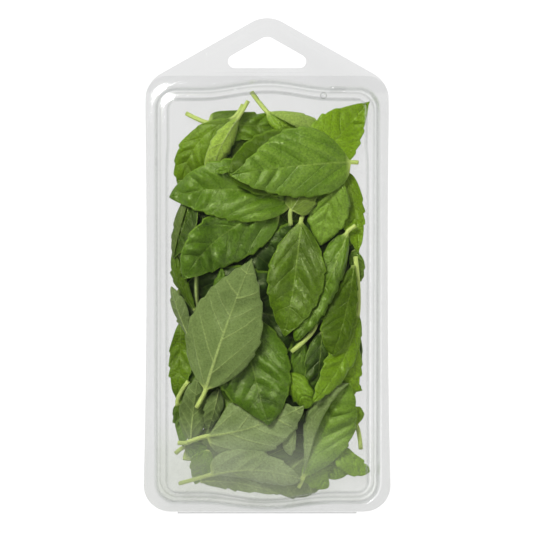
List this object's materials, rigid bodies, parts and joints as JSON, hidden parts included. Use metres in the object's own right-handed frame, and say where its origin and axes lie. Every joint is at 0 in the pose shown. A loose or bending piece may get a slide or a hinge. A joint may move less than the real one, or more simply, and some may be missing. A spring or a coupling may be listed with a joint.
{
  "type": "clamshell pack of basil leaves",
  "caption": "Clear hang-tab clamshell with a windowed, hinged lid, filled with loose green basil leaves that show their glossy and pale faces.",
  "frame": {"origin": "on the surface the pack lies on, at the middle of its width and of its overall length", "axes": "+X to the right across the window, +Y towards the hang tab, +Z out of the window"},
  "size_m": [0.1104, 0.2217, 0.0248],
  "materials": {
    "clear_plastic": "clear, glossy, thermoformed",
    "basil_leaf_top": "glossy green leaf face",
    "basil_leaf_underside": "matt pale green leaf underside"
  },
  "bodies": {
    "tray": {"tray": "clear_plastic", "living_hinge": "clear_plastic", "leaf_bed_1": "basil_leaf_top", "leaf_bed_2": "basil_leaf_underside", "leaf_bed_3": "basil_leaf_top", "leaf_bed_4": "basil_leaf_top", "leaf_bed_5": "basil_leaf_top", "leaf_bed_6": "basil_leaf_top", "leaf_bed_7": "basil_leaf_top", "leaf_bed_8": "basil_leaf_underside", "leaf_top_left_back": "basil_leaf_top", "leaf_left_shade": "basil_leaf_top", "leaf_middle_stalk": "basil_leaf_underside", "leaf_middle_grey": "basil_leaf_top", "leaf_right_chip": "basil_leaf_top", "leaf_right_edge_high": "basil_leaf_top", "leaf_right_edge_mid": "basil_leaf_top", "leaf_right_edge_low": "basil_leaf_top", "leaf_low_dark": "basil_leaf_top", "leaf_low_pale": "basil_leaf_underside", "leaf_corner_dark": "basil_leaf_top", "leaf_corner_bright": "basil_leaf_top", "leaf_foot_right": "basil_leaf_top", "leaf_foot_left_dark": "basil_leaf_top", "leaf_foot_left_bright": "basil_leaf_top", "leaf_right_bright": "basil_leaf_top", "leaf_upper_left_bright": "basil_leaf_top", "leaf_upper_left_pale": "basil_leaf_underside", "leaf_top_folded": "basil_leaf_top", "leaf_top_right_bright": "basil_leaf_top", "leaf_left_bright_low": "basil_leaf_top", "leaf_left_sliver": "basil_leaf_top", "leaf_left_long_bright": "basil_leaf_top", "leaf_left_curled_pale": "basil_leaf_underside", "leaf_left_folded": "basil_leaf_top", "leaf_left_narrow": "basil_leaf_top", "leaf_lower_left_grey": "basil_leaf_underside", "leaf_lower_left_olive": "basil_leaf_underside", "leaf_right_quilted": "basil_leaf_top", "leaf_mid_right_small": "basil_leaf_top", "leaf_mid_right_dark": "basil_leaf_top", "leaf_cut_stalk": "basil_leaf_top", "leaf_right_large_folded": "basil_leaf_top", "leaf_small_folded": "basil_leaf_top", "leaf_right_long_bright": "basil_leaf_top", "leaf_right_glossy": "basil_leaf_top", "leaf_low_left_pale": "basil_leaf_underside", "leaf_centre_large": "basil_leaf_top", "leaf_foot_pale": "basil_leaf_underside", "leaf_foot_large_pale": "basil_leaf_underside", "leaf_left_large_pale": "basil_leaf_underside", "leaf_right_narrow": "basil_leaf_top", "leaf_centre_tall": "basil_leaf_top", "leaf_left_large": "basil_leaf_top", "leaf_upper_left_large": "basil_leaf_top", "leaf_pale_patch": "basil_leaf_underside", "leaf_small_tip": "basil_leaf_top", "leaf_top_second": "basil_leaf_top", "leaf_top_leaf": "basil_leaf_top"},
    "lid": {"lid": "clear_plastic"}
  },
  "joints": [
    {"name": "lid_hinge", "type": "hinge", "parent": "tray", "child": "lid", "pos_m": [0, -0.1106, 0.01615], "axis": [1, 0, 0], "range_deg": [0, 180]}
  ]
}
